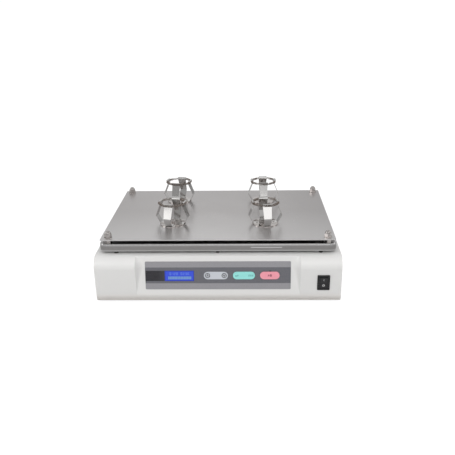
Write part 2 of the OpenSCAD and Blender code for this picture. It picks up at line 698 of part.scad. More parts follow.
module tray_screws() color("silver") each_tray_screw() {
    translate([0, 0, tray_top - 1.9]) cylinder(d1 = 4, d2 = 7.6, h = 1.8);
    translate([0, 0, 114]) cylinder(d = 4, h = tray_top - 1.9 - 114 + eps);
}

// A rounded block whose upper edge is bent to the radius r, with corners of radius c.
module bent_edge(reach, r, h) {
    square([reach - r, h]);
    square([reach, h - r]);
    translate([reach - r, h - r]) circle(r);
}

module bent_block(w, d, c, r, z0, z1) translate([0, 0, z0]) {
    h = z1 - z0;
    for (m = [0, 1]) {
        mirror([0, m, 0]) rotate([90, 0, 90]) linear_extrude(w - 2 * c, center = true) bent_edge(d / 2, r, h);
        mirror([m, 0, 0]) rotate([90, 0, 0]) linear_extrude(d - 2 * c, center = true) bent_edge(w / 2, r, h);
    }
    for (i = [0 : 3]) {
        sx = i == 0 || i == 3 ? 1 : -1;
        sy = i < 2 ? 1 : -1;
        translate([sx * (w / 2 - c), sy * (d / 2 - c), 0]) rotate(90 * i) rotate_extrude(angle = 90)
            bent_edge(c, r, h);
    }
}

module tray() color("silver") translate([pin[0], pin[1], 0]) difference() {
    bent_block(tray_w, deck_d, corner_r, bend_r, tray_z0, tray_top);
    bent_block(tray_w - 2 * tray_t, deck_d - 2 * tray_t, corner_r - tray_t, bend_r - tray_t,
        tray_z0 - 1, tray_under);
    at_corners(bolt_x, bolt_y) translate([0, 0, 100]) cylinder(d = 8.4, h = 40);
    translate([-pin[0], -pin[1], 0]) each_tray_screw() {
        translate([0, 0, tray_top - 2.1]) cylinder(d1 = 4.2, d2 = 8.2, h = 2.2);
        translate([0, 0, 100]) cylinder(d = 4.2, h = 40);
    }
}

module platform_plate() color("silver") difference() {
    translate([pin[0], pin[1], plate_low]) linear_extrude(plate_t) rounded_rect(deck_w, deck_d, 3);
    translate([pin[0], pin[1], 0]) at_corners(bolt_x, bolt_y) cylinder(d = 8.4, h = 200);
    for (i = [0 : 3]) translate([clamps[i][0], clamps[i][1], 0]) rotate(clamp_turn[i]) {
        cylinder(d = 5.4, h = 200);
        for (s = [-1, 1]) translate([s * 10, s * 10, 0]) cylinder(d = 3.4, h = 200);
    }
}

module deck_nuts() color("silver") translate([pin[0], pin[1], tray_top]) at_corners(bolt_x, bolt_y)
    difference() {
        rotate(15) cylinder(d = 15, h = deck_gap, $fn = 6);
        translate([0, 0, -1]) cylinder(d = 8.1, h = deck_gap + 2);
    }

module corner_bolts() color("silver") translate([pin[0], pin[1], 0]) at_corners(bolt_x, bolt_y) {
    translate([0, 0, tray_under - 5.3]) cylinder(d = 15, h = 5.3, $fn = 6);
    translate([0, 0, tray_under - 0.1]) cylinder(d = 8, h = plate_top + 10 - tray_under);
}

module dome_nuts() color("silver") translate([pin[0], pin[1], plate_top]) at_corners(bolt_x, bolt_y)
    difference() {
        union() {
            cylinder(d = 16.5, h = 1.4);
            intersection() {
                rotate(15) cylinder(d = 15, h = 8.5, $fn = 6);
                cylinder(d1 = 24, d2 = 13.4, h = 8.5);
            }
            intersection() {
                translate([0, 0, 8.4]) sphere(6.3);
                cylinder(d = 20, h = 20);
            }
        }
        translate([0, 0, -1]) cylinder(d = 8.1, h = 11.4);
    }

// ---------------------------------------------------------------- flask clamps

// Side view of one finger as [radius, height]: along the disc, up and out to the bend, then in and up
// behind the spring and out over it.
spring_r = 2.7;
spring_gap = 0.3;
hook_r = spring_r + spring_gap + finger_t / 2;
rivet_r = 18;
foot_z = 2 + finger_t / 2;
finger_bend = [cage_r - finger_t / 2, cage_bend_z];
hook_start = 190;
hook_end = 47;
finger_line = concat([[13, foot_z], [25.2, foot_z], [26.6, foot_z + 0.7]],
    [finger_bend + [-0.9, -1.6], finger_bend + [-0.1, 0], finger_bend + [-0.75, 1.8]],
    [for (a = [hook_start : -20 : hook_end]) [spring_ring_r, spring_ring_z] + hook_r * [cos(a), sin(a)]]);
function side_of(line, i, d) = let (
        n = len(line) - 1, v = unit(line[min(n, i + 1)] - line[max(0, i - 1)]))
    line[i] + d * [-v[1], v[0]];

// The strip widens upwards: its side view, cut to the outline that it has seen from outside.
module finger() intersection() {
    rotate([90, 0, 0]) translate([0, 0, -finger_top_w / 2]) linear_extrude(finger_top_w)
        polygon(concat([for (i = [0 : len(finger_line) - 1]) side_of(finger_line, i, finger_t / 2)],
            [for (i = [len(finger_line) - 1 : -1 : 0]) side_of(finger_line, i, -finger_t / 2)]));
    rotate([90, 0, 90]) linear_extrude(cage_r + 5) polygon([[-finger_low_w / 2, 0], [finger_low_w / 2, 0],
        [finger_top_w / 2, spring_ring_z - 2], [finger_top_w / 2, spring_ring_z + 8],
        [-finger_top_w / 2, spring_ring_z + 8], [-finger_top_w / 2, spring_ring_z - 2]]);
}

module each_clamp() for (i = [0 : 3]) translate([clamps[i][0], clamps[i][1], plate_top])
    rotate(clamp_turn[i]) children();

module clamp_bases() color("silver") each_clamp() difference() {
    cylinder(r = 28, h = 2);
    translate([0, 0, -1]) cylinder(d = 5.4, h = 4);
    for (s = [-1, 1]) translate([s * 10, s * 10, -1]) cylinder(d = 3.4, h = 4);
    for (a = [0 : 3]) rotate(90 * a) translate([rivet_r, 0, -1]) cylinder(d = 3, h = 4);
}

module clamp_fingers() color("silver") each_clamp() for (a = [0 : 3]) rotate(90 * a) difference() {
    finger();
    translate([rivet_r, 0, 0]) cylinder(d = 3, h = 5);
}

module clamp_rivets() color("silver") each_clamp() for (a = [0 : 3]) rotate(90 * a)
    translate([rivet_r, 0, 0]) {
        cylinder(d = 3, h = 2 + finger_t + 0.5);
        translate([0, 0, 2 + finger_t]) cylinder(d1 = 5, d2 = 3.4, h = 1);
    }

// The coil spring is stretched round the fingers and straight between them: a ring of eight sides, its
// profile widened so that each side is round.
module clamp_springs() color("silver") each_clamp() translate([0, 0, spring_ring_z]) rotate(22.5)
    rotate_extrude($fn = 8) translate([spring_ring_r / cos(22.5), 0])
        scale([1 / cos(22.5), 1]) circle(r = spring_r, $fn = 40);

module clamp_screws() color("silver") each_clamp() {
    translate([0, 0, 2]) cap_screw(9, 4, 5, 7);
    for (s = [-1, 1]) translate([s * 10, s * 10, 2]) pan_screw(5.6, 2, 3, 6);
}

// ---------------------------------------------------------------- nodes made by a shared module

module mains_loom() color("#404040") tube(mains_route, 3, 7);
module motor_lead() color("#404040") tube(motor_route, 2.5, 8);
module guide_crank_fl() guide_crank(0);
module guide_crank_fr() guide_crank(1);
module guide_crank_bl() guide_crank(2);
module guide_crank_br() guide_crank(3);
module key_up() round_key(key_up_x, "lavender");
module key_down() round_key(key_down_x, "lavender");
module key_enter() flat_key(enter_x, "turquoise");
module key_mode() flat_key(mode_x, "turquoise");
module key_run() flat_key(run_x, "pink");

// ---------------------------------------------------------------- nodes

base_plate();
rubber_feet();
foot_screws();
front_fascia();
main_cover();
rear_panel();
fascia_screws();
side_screws();
rear_screws();
keypad_film();
display_window();
lcd_module();
keypad_board();
key_switches();
control_board();
power_supply();
motor();
motor_bracket();
motor_screws();
drive_housing();
guide_housings();
lower_bearings();
housing_bolts();
drive_belt();
mains_inlet();
inlet_pins();
inlet_screws();
rocker_frame();
mains_loom();
motor_lead();
drive_shaft();
drive_pulley();
counterweight();
counterweight_screws();
guide_crank_fl();
guide_crank_fr();
guide_crank_bl();
guide_crank_br();
motor_shaft();
motor_pulley();
tray();
upper_housings();
upper_bearings();
tray_screws();
platform_plate();
deck_nuts();
corner_bolts();
dome_nuts();
clamp_bases();
clamp_fingers();
clamp_springs();
clamp_screws();
clamp_rivets();
rocker_button();
key_up();
key_down();
key_enter();
key_mode();
key_run();
fuse_drawer();
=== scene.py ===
"""Looks of the orbital shaker: a studio, the materials, and the fine pieces that the frame leaves out."""

import json
import math

import bpy
from mathutils import Matrix, Vector


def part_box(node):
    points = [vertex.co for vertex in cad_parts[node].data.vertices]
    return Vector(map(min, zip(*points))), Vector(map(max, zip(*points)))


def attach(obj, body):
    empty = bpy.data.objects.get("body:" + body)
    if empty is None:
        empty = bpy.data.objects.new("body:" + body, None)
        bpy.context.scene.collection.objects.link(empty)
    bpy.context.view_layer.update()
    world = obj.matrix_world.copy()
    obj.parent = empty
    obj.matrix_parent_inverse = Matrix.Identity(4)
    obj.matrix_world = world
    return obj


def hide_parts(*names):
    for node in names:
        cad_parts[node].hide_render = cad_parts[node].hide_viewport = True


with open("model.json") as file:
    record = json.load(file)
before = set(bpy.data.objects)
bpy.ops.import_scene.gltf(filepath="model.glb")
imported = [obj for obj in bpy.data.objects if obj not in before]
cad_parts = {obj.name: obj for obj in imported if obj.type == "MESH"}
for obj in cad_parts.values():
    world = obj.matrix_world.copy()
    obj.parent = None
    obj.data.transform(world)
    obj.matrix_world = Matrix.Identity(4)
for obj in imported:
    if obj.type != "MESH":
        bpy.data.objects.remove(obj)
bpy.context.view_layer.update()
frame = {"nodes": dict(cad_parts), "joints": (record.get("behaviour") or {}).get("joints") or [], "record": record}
NODES = frame["nodes"]
MM = 0.001


def joint(name):
    return next(j for j in frame["joints"] if j["name"] == name)


def show(name, mesh, material):
    """An object of the scene that shows a mesh in one material."""
    mesh.materials.clear()
    mesh.materials.append(material)
    obj = bpy.data.objects.new(name, mesh)
    bpy.context.scene.collection.objects.link(obj)
    return obj


# ---------------------------------------------------------------- node helpers


class Nodes:
    """A node tree under construction. The helpers add nodes that read one set of coordinates."""

    def __init__(self, tree, coordinates):
        self.tree = tree
        self.place = tree.nodes.new("ShaderNodeTexCoord").outputs[coordinates]

    def link(self, out, into):
        self.tree.links.new(out, into)

    def value(self, socket, amount):
        """Gives a socket a number or a colour, or links it to another node's output."""
        if hasattr(amount, "links"):
            self.link(amount, socket)
        elif isinstance(amount, (tuple, list)) and len(amount) == 3 and socket.type == "RGBA":
            socket.default_value = (*amount, 1)
        else:
            socket.default_value = amount

    def math(self, kind, a, b):
        node = self.tree.nodes.new("ShaderNodeMath")
        node.operation = kind
        self.value(node.inputs[0], a)
        self.value(node.inputs[1], b)
        return node.outputs[0]

    def times(self, a, b):
        return self.math("MULTIPLY", a, b)

    def axes(self):
        """The x, y and z of the coordinates."""
        node = self.tree.nodes.new("ShaderNodeSeparateXYZ")
        self.link(self.place, node.inputs[0])
        return node.outputs[0:3]

    def stretch(self, scale):
        """The coordinates, stretched, for grain that runs one way."""
        node = self.tree.nodes.new("ShaderNodeMapping")
        node.inputs["Scale"].default_value = scale
        self.link(self.place, node.inputs["Vector"])
        return node.outputs[0]

    def noise(self, scale, detail, rough=0.5, along=None, distort=0.0):
        node = self.tree.nodes.new("ShaderNodeTexNoise")
        node.inputs["Scale"].default_value = scale
        node.inputs["Detail"].default_value = detail
        node.inputs["Roughness"].default_value = rough
        node.inputs["Distortion"].default_value = distort
        self.link(along or self.place, node.inputs["Vector"])
        return node.outputs["Fac"]

    def cells(self, scale, feature="F1"):
        node = self.tree.nodes.new("ShaderNodeTexVoronoi")
        node.feature = feature
        node.inputs["Scale"].default_value = scale
        self.link(self.place, node.inputs["Vector"])
        return node.outputs["Distance"]

    def spread(self, fac, low, high, start=0.25, stop=0.75):
        """fac from start to stop, mapped to low to high."""
        node = self.tree.nodes.new("ShaderNodeMapRange")
        for name, amount in (("From Min", start), ("From Max", stop), ("To Min", low), ("To Max", high)):
            self.value(node.inputs[name], amount)
        self.link(fac, node.inputs["Value"])
        return node.outputs["Result"]

    def band(self, fac, low, high, edge):
        """1 where fac is between low and high, and 0 outside, with an edge of that width."""
        rise = self.spread(fac, 0, 1, low - edge, low)
        return self.times(rise, self.spread(fac, 1, 0, high, high + edge))

    def mix(self, fac, a, b):
        node = self.tree.nodes.new("ShaderNodeMix")
        node.data_type = "RGBA"
        self.value(node.inputs["Factor"], fac)
        self.value(node.inputs["A"], a)
        self.value(node.inputs["B"], b)
        return node.outputs["Result"]


class Shader(Nodes):
    """A material under construction: a Principled shader and the nodes that drive it."""

    def __init__(self, name):
        self.material = bpy.data.materials.new(name)
        self.material.use_nodes = True
        super().__init__(self.material.node_tree, "Object")
        self.base = self.tree.nodes["Principled BSDF"]

    def set(self, **inputs):
        for name, amount in inputs.items():
            self.value(self.base.inputs[name.replace("_", " ")], amount)

    def bump(self, *layers):
        """Adds layers of relief, each (height, strength, distance in metres), and returns the material."""
        normal = None
        for height, strength, distance in layers:
            node = self.tree.nodes.new("ShaderNodeBump")
            node.inputs["Strength"].default_value = strength
            node.inputs["Distance"].default_value = distance
            self.link(height, node.inputs["Height"])
            if normal:
                self.link(normal, node.inputs["Normal"])
            normal = node.outputs["Normal"]
        self.link(normal, self.base.inputs["Normal"])
        return self.material

    def panel_height(self, panel):
        """How far up the panel a point is from the film's middle."""
        node = self.tree.nodes.new("ShaderNodeVectorMath")
        node.operation = "DOT_PRODUCT"
        self.link(self.place, node.inputs[0])
        node.inputs[1].default_value = panel.up
        return self.math("SUBTRACT", node.outputs["Value"], panel.centre.dot(panel.up))


def shade(colour, by):
    return tuple(c * by for c in colour)


# ---------------------------------------------------------------- camera, light and floor

CAMERA_AT = (0.0539, -1.4384, 0.6110)
CAMERA_DOWN, CAMERA_YAW, CAMERA_ROLL = (math.radians(a) for a in (19.694, -1.509, -0.744))
LENS, SENSOR = 52.35, 36

# The room's light at the horizon and overhead, and the upward part of a direction that counts as overhead.
ROOM_LOW, ROOM_HIGH = 0.46, 0.60
OVERHEAD = 0.55

# Uneven patches multiply the room's light by between these two.
PATCH_LOW, PATCH_HIGH = 0.62, 1.42
PATCH_SCALE = 3.8

# Each light's name, place, target, width and height in metres, watts, and whether metal mirrors it.
LIGHTS = (
    ("front_box", (-0.2, -2.5, 1.65), (0, 0, 0.1), (3.6, 1.2), 54, False),
    ("front_card", (-0.05, -1.4, 0.79), (-0.05, -0.1, 0.17), (3.1, 0.2), 2.3, True),
    ("back_box", (0.3, 2.8, 1.7), (0, 0, 0.1), (3.6, 1.2), 22, False),
    ("left_box", (-2.0, -0.3, 1.1), (0, 0, 0.12), (0.8, 1.0), 5, True),
    ("right_box", (2.0, -0.2, 1.1), (0, 0, 0.12), (0.8, 1.0), 3, True),
)

HALF_BENCH = 80.0


def camera():
    """A camera in front of the shaker, a little to its right and above it."""
    flat = math.cos(CAMERA_DOWN)
    ahead = Vector((math.sin(CAMERA_YAW) * flat, math.cos(CAMERA_YAW) * flat, -math.sin(CAMERA_DOWN)))
    right = Vector((math.cos(CAMERA_YAW), -math.sin(CAMERA_YAW), 0))
    up = right.cross(ahead)
    across = math.cos(CAMERA_ROLL) * right + math.sin(CAMERA_ROLL) * up
    upward = math.cos(CAMERA_ROLL) * up - math.sin(CAMERA_ROLL) * right
    data = bpy.data.cameras.new("camera")
    data.lens = LENS
    data.sensor_width = SENSOR
    data.clip_start = 0.01
    obj = bpy.data.objects.new("camera", data)
    matrix = Matrix((across, upward, -ahead)).transposed().to_4x4()
    matrix.translation = CAMERA_AT
    obj.matrix_world = matrix
    bpy.context.scene.collection.objects.link(obj)
    bpy.context.scene.camera = obj


def area_light(name, place, target, size, watts, mirrored):
    data = bpy.data.lights.new(name, "AREA")
    data.shape = "RECTANGLE"
    data.size, data.size_y = size
    data.energy = watts
    obj = bpy.data.objects.new(name, data)
    obj.location = place
    obj.rotation_euler = (Vector(target) - Vector(place)).to_track_quat("-Z", "Y").to_euler()
    obj.visible_glossy = mirrored
    bpy.context.scene.collection.objects.link(obj)


def studio():
    """A pale room, brightest overhead and uneven all round, and its lights.

    Soft boxes stand in front, behind and at each side. A narrow card above the camera is what the clamps'
    front fingers mirror.
    """
    world = bpy.data.worlds.new("room")
    world.use_nodes = True
    room = Nodes(world.node_tree, "Generated")
    climb = room.spread(room.axes()[2], ROOM_LOW, ROOM_HIGH, 0.0, OVERHEAD)
    climb.node.interpolation_type = "SMOOTHSTEP"
    patches = room.spread(room.noise(PATCH_SCALE, 1), PATCH_LOW, PATCH_HIGH, 0.40, 0.60)
    background = world.node_tree.nodes["Background"]
    room.value(background.inputs["Strength"], room.times(climb, patches))
    room.value(background.inputs["Color"], (1, 1, 1))
    bpy.context.scene.world = world
    bpy.context.scene.view_settings.view_transform = "Standard"
    for light in LIGHTS:
        area_light(*light)


def sheet(name, height, material):
    mesh = bpy.data.meshes.new(name)
    corners = ((-1, -1), (1, -1), (1, 1), (-1, 1))
    mesh.from_pydata([(x * HALF_BENCH, y * HALF_BENCH, height) for x, y in corners], [], [(0, 1, 2, 3)])
    obj = show(name, mesh, material)
    return obj


def floor():
    """The bench. A white sheet is what is seen, and a grey one gives the light that comes back."""
    seen = sheet("bench", 0, pale_sheet("white_sheet", 0.25, 0.86))
    seen.visible_diffuse = False
    seen.visible_glossy = False
    seen.visible_shadow = False
    bounce = sheet("bench_bounce", -0.0001, pale_sheet("grey_sheet", 0.55, 0))
    bounce.visible_camera = False


# ---------------------------------------------------------------- materials

WHITE = (0.65, 0.646, 0.637)
# WHITE_SHADED is a painted shade along the bottom of the front moulding: full below PAINTED_SHADE_LOW and gone
# above PAINTED_SHADE_HIGH, in metres.
WHITE_SHADED = (0.60, 0.575, 0.55)
PAINTED_SHADE_LOW, PAINTED_SHADE_HIGH = 0.010, 0.024
LAVENDER = (0.50, 0.52, 0.56)
TEAL = (0.27, 0.66, 0.62)
PINK = (0.76, 0.29, 0.35)
# The white that the painted sheen, highlights and reflection on steel go over to.
PAINTED_LIGHT = (1, 1, 1)

# The deck's front edge is at this y, and the plate's painted sheen fades out from there to the middle.
DECK_FRONT = -0.185

# The film's dark band and its smoky window: bottom, top and width of edge, in mm up from the film's middle.
DARK_BAND = (-16.6, 17.1, 0.2)
SMOKY_BAND = (-11.6, 9.9, 0.6)
PALE_INK, DARK_INK, SMOKY_INK = (0.26, 0.255, 0.27), (0.122, 0.122, 0.136), (0.026, 0.025, 0.03)

# The smoky window fades out from the first x to the second.
SMOKY_FROM, SMOKY_TO = -0.125, -0.045


def pale_sheet(name, tone, glow):
    """Paper for the bench, which also glows by itself."""
    s = Shader(name)
    slow = s.noise(6, 2)
    grey = (tone, tone, tone)
    s.set(Base_Color=s.mix(slow, grey, shade(grey, 1.05)), Roughness=s.spread(slow, 0.7, 0.85))
    s.set(Specular_IOR_Level=0.1, Emission_Color=(1, 1, 1), Emission_Strength=glow)
    return s.bump((s.noise(700, 2), 0.05, 0.0002))


def painted(name, colour, rough, peel, low_shade=None):
    """Paint or moulded plastic: faint orange peel, slow changes of tone, and low_shade, a painted shade, at the
    bottom.
    """
    s = Shader(name)
    slow = s.noise(7, 3)
    fine = s.noise(1500, 2)
    tone = s.mix(slow, shade(colour, 0.985), shade(colour, 1.015))
    # Painted shade: the tone goes over to low_shade towards the bottom.
    if low_shade:
        tone = s.mix(s.spread(s.axes()[2], 1, 0, PAINTED_SHADE_LOW, PAINTED_SHADE_HIGH), tone, low_shade)
    s.set(Base_Color=tone, Roughness=s.spread(fine, rough - 0.05, rough + 0.06))
    s.set(Coat_Weight=0.12, Coat_Roughness=0.25)
    return s.bump((s.noise(420, 2), peel, 0.0002), (fine, peel * 0.6, 0.0001))


def steel(name, colour, rough, cloud=0.06, grain=0.05, streak=(3, 160, 160),
          painted_sheen=0.0, painted_highlights=(), reflected_line=None):
    """Steel with cloudy changes of gloss and a faint grain that runs one way.

    painted_sheen is a painted sheen that lightens it towards the front of the deck. worn lists heights
    (low, high, amount) of painted highlights, bands made paler. scratch is a painted reflection, one pale
    line on the front: (left, right), (low, high), amount.
    """
    s = Shader(name)
    across, depth, height = s.axes()
    cloudy = s.noise(9, 4, 0.6, distort=0.6)
    lines = s.noise(9, 3, 0.7, along=s.stretch(streak))
    gloss = s.math("ADD", s.spread(cloudy, rough - cloud, rough + cloud), s.spread(lines, -grain, grain))
    tone = s.mix(cloudy, shade(colour, 0.95), shade(colour, 1.05))
    # A painted sheen: the steel is paler towards the front of the deck.
    if painted_sheen:
        tone = s.mix(s.spread(depth, painted_sheen, 0, DECK_FRONT, 0.0), tone, PAINTED_LIGHT)
    # Painted highlights: each band of height is made paler towards white.
    for low, high, amount in painted_highlights:
        rise = s.spread(height, 0, amount, low - 0.8 * MM, low + 0.2 * MM)
        fall = s.spread(height, 1, 0, high, high + 0.6 * MM)
        tone = s.mix(s.times(rise, fall), tone, PAINTED_LIGHT)
    # A painted reflection: one pale line on the front face.
    if reflected_line:
        ends, edges, amount = reflected_line
        line = s.times(s.band(across, *ends, 0.2 * MM), s.band(height, *edges, 0.2 * MM))
        on_front = s.spread(depth, amount, 0, -0.01, 0.0)
        tone = s.mix(s.times(line, on_front), tone, PAINTED_LIGHT)
    s.set(Metallic=1.0, Base_Color=tone, Roughness=gloss)
    return s.bump((lines, 0.06, 0.0001), (s.noise(1800, 2), 0.03, 0.0001))


def zinc():
    """Bright zinc plating with a faint spangle."""
    s = Shader("zinc_plating")
    spangle = s.cells(240)
    tone = s.mix(s.noise(20, 3), (0.50, 0.53, 0.55), (0.62, 0.62, 0.60))
    s.set(Metallic=1.0, Base_Color=tone, Roughness=s.spread(spangle, 0.26, 0.42, 0, 0.6))
    return s.bump((s.noise(900, 2), 0.05, 0.0002))


def casting(name, colour, rough, metallic=1.0):
    """Cast metal with a sandy skin."""
    s = Shader(name)
    sand = s.noise(700, 4, 0.7)
    tone = s.mix(s.noise(25, 3), shade(colour, 0.88), shade(colour, 1.08))
    s.set(Metallic=metallic, Base_Color=tone, Roughness=s.spread(sand, rough - 0.1, rough + 0.12))
    return s.bump((sand, 0.25, 0.0004))


def moulded(name, colour, rough, grain, size=900):
    """Plastic or rubber with a fine moulded grain."""
    s = Shader(name)
    skin = s.cells(size)
    tone = s.mix(s.noise(30, 3), shade(colour, 0.94), shade(colour, 1.06))
    s.set(Base_Color=tone, Roughness=s.spread(skin, rough - 0.06, rough + 0.08, 0, 0.7))
    return s.bump((skin, grain, 0.0002))


def circuit_board():
    """Green lacquer over copper tracks."""
    s = Shader("circuit_board")
    tracks = s.cells(260, "DISTANCE_TO_EDGE")
    copper = s.spread(tracks, 1, 0, 0.02, 0.05)
    tone = s.mix(copper, (0.012, 0.11, 0.04), (0.03, 0.2, 0.08))
    s.set(Base_Color=tone, Roughness=s.spread(tracks, 0.25, 0.4))
    return s.bump((tracks, 0.3, 0.0001))


def printed_film(panel):
    """The keypad film: pale bands above and below a dark one, and a smoky window at its left end."""
    s = Shader("printed_film")
    height = s.panel_height(panel)
    dark = s.band(height, *shade(DARK_BAND, MM))
    window = s.band(height, *shade(SMOKY_BAND, MM))
    fade = s.spread(s.axes()[0], 1, 0, SMOKY_FROM, SMOKY_TO)
    ink = s.mix(dark, PALE_INK, DARK_INK)
    ink = s.mix(s.times(window, fade), ink, SMOKY_INK)
    s.set(Base_Color=ink, Roughness=s.spread(s.noise(900, 2), 0.24, 0.34), Specular_IOR_Level=0.35)
    return s.bump((s.noise(1600, 2), 0.05, 0.0001))


def backlit(name, colour, strength):
    """A lit part of the display."""
    s = Shader(name)
    glow = s.noise(60, 2)
    s.set(Base_Color=shade(colour, 0.5), Roughness=s.spread(glow, 0.15, 0.25))
    s.set(Emission_Color=s.mix(glow, shade(colour, 0.93), shade(colour, 1.07)), Emission_Strength=strength)
    return s.bump((s.noise(900, 1), 0.02, 0.0001))


def make_materials(panel):
    """Every material by name."""
    rim, lip = (corner.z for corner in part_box("tray"))
    return {
        "cover": painted("white_powder_coat", WHITE, 0.45, 0.10),
        # The front moulding has a painted shade along its bottom.
        "front": painted("white_moulding", WHITE, 0.38, 0.05, WHITE_SHADED),
        # The plate has a painted sheen towards the front of the deck.
        "plate": steel("satin_plate", (0.575, 0.556, 0.552), 0.33, painted_sheen=0.36),
        # The tray has painted highlights along its top bend and its lower rim, and a painted reflection: one pale
        # line on its front.
        "tray": steel("satin_tray", (0.34, 0.33, 0.325), 0.2, 0.04, 0.04,
                      painted_highlights=((lip - 4.2 * MM, lip, 0.32), (rim, rim + 2 * MM, 0.36)),
                      reflected_line=((0.068, 0.131), (0.1181, 0.1196), 0.68)),
        "bright": steel("bright_steel", (0.52, 0.49, 0.475), 0.08, 0.02, 0.02, (60, 60, 200)),
        "strip": steel("spring_strip", (0.60, 0.59, 0.58), 0.09, 0.03, 0.02, (30, 30, 400)),
        "wire": steel("spring_wire", (0.34, 0.29, 0.26), 0.2, 0.04, 0.03, (200, 200, 200)),
        "dark_steel": steel("dark_steel", (0.2, 0.195, 0.19), 0.2, 0.04, 0.03, (60, 60, 200)),
        "zinc": zinc(),
        "ground": steel("ground_steel", (0.55, 0.55, 0.56), 0.2, 0.04, 0.04, (40, 40, 600)),
        "iron": casting("cast_iron", (0.09, 0.09, 0.095), 0.6, 0.4),
        "aluminium": casting("cast_aluminium", (0.55, 0.56, 0.57), 0.45),
        "film": printed_film(panel),
        "board": circuit_board(),
        "black": moulded("black_plastic", (0.014, 0.014, 0.015), 0.36, 0.1),
        "rubber": moulded("black_rubber", (0.02, 0.02, 0.02), 0.75, 0.3, 500),
        "belt": moulded("belt_rubber", (0.03, 0.03, 0.03), 0.7, 0.3, 500),
        "sheath": moulded("cable_sheath", (0.03, 0.03, 0.03), 0.5, 0.1, 600),
        "lavender": painted("lavender_key", LAVENDER, 0.4, 0.04),
        "teal": painted("teal_key", TEAL, 0.4, 0.04),
        "pink": painted("pink_key", PINK, 0.4, 0.04),
        "dark_ink": painted("dark_ink", (0.05, 0.05, 0.055), 0.45, 0.02),
        "teal_ink": painted("teal_ink", (0.06, 0.22, 0.23), 0.45, 0.02),
        "pink_ink": painted("pink_ink", (0.28, 0.09, 0.12), 0.45, 0.02),
        "lamp": moulded("dark_lamp", (0.008, 0.008, 0.009), 0.25, 0.05),
        "white_ink": painted("white_ink", (0.62, 0.62, 0.62), 0.45, 0.02),
        "screen": backlit("blue_backlight", (0.030, 0.065, 0.56), 0.6),
        "screen_edge": backlit("screen_edge", (0.02, 0.04, 0.33), 0.6),
        "figure": backlit("lit_figure", (0.11, 0.22, 0.58), 0.75),
        "block": backlit("lit_block", (0.12, 0.23, 0.42), 0.75),
    }


# The nodes of the frame that each material covers.
WEARS = {
    "cover": "main_cover rear_panel",
    "front": "front_fascia",
    "plate": "platform_plate",
    "tray": "tray",
    "bright": "side_screws rear_screws foot_screws dome_nuts deck_nuts clamp_screws clamp_rivets "
              "clamp_bases inlet_pins inlet_screws",
    "strip": "clamp_fingers",
    "dark_steel": "fascia_screws",
    "zinc": "base_plate motor_bracket power_supply corner_bolts tray_screws housing_bolts motor_screws "
            "counterweight_screws",
    "ground": "drive_shaft guide_crank_fl guide_crank_fr guide_crank_bl guide_crank_br motor_shaft "
              "lower_bearings upper_bearings",
    "iron": "counterweight motor",
    "aluminium": "drive_housing guide_housings upper_housings drive_pulley motor_pulley",
    "film": "keypad_film",
    "screen_edge": "display_window",
    "board": "keypad_board control_board lcd_module",
    "black": "key_switches mains_inlet rocker_frame rocker_button fuse_drawer",
    "rubber": "rubber_feet",
    "belt": "drive_belt",
    "sheath": "mains_loom motor_lead",
    "lavender": "key_up key_down",
    "teal": "key_enter key_mode",
    "pink": "key_run",
    "wire": "clamp_springs",
}


def dress_nodes(materials):
    """Puts its material on each node of the frame."""
    for key, names in WEARS.items():
        for name in names.split():
            mesh = NODES[name].data
            mesh.materials.clear()
            mesh.materials.append(materials[key])


# ---------------------------------------------------------------- flat shapes and printing

CIRCLE_STEPS, END_STEPS = 40, 16


def arc(x, y, r, start, stop, steps):
    angles = [math.radians(start + (stop - start) * i / steps) for i in range(steps + 1)]
    return [(x + r * math.cos(a), y + r * math.sin(a)) for a in angles]


def circle(x, y, r):
    return arc(x, y, r, 0, 360, CIRCLE_STEPS)[:-1]


def pill(x, y, w, h):
    r = h / 2
    return arc(x + w / 2 - r, y, r, -90, 90, END_STEPS) + arc(x - w / 2 + r, y, r, 90, 270, END_STEPS)


def box(x, y, w, h):
    return [(x - w / 2, y - h / 2), (x + w / 2, y - h / 2), (x + w / 2, y + h / 2), (x - w / 2, y + h / 2)]


def moved(outline, x, y):
    return [(x + dx, y + dy) for dx, dy in outline]


def printed(name, loops, place, body, material, lift=0.0, thick=0.06):
    """A thin printed shape. The loops are outlines in millimetres, and a loop inside another is a hole."""
    curve = bpy.data.curves.new(name, "CURVE")
    curve.dimensions = "2D"
    curve.fill_mode = "BOTH"
    curve.extrude = thick / 2 * MM
    for loop in loops:
        spline = curve.splines.new("POLY")
        spline.points.add(len(loop) - 1)
        for point, (x, y) in zip(spline.points, loop):
            point.co = (x * MM, y * MM, 0, 1)
        spline.use_cyclic_u = True
    flat = bpy.data.objects.new(name, curve)
    bpy.context.scene.collection.objects.link(flat)
    mesh = bpy.data.meshes.new_from_object(flat)
    bpy.data.objects.remove(flat)
    mesh.transform(place @ Matrix.Translation((0, 0, (lift + thick / 2) * MM)))
    obj = show(name, mesh, material)
    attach(obj, body)


# ---------------------------------------------------------------- the control panel, in millimetres

HALF_FILM = 0.4
KEY_TOP = 0.5
KEY_GAP = 0.3
ROUND_KEY = 10.4
ARROW_PILL = (49.5, 16)
ARROW_RING = (5.0, 3.7)
ARROW_TRIANGLE = (3.3, 1.1)

# The strip over the seam between the two teal keys: its width, its height and how far it stands over them.
BRIDGE = (1.4, 14.4, 0.02)

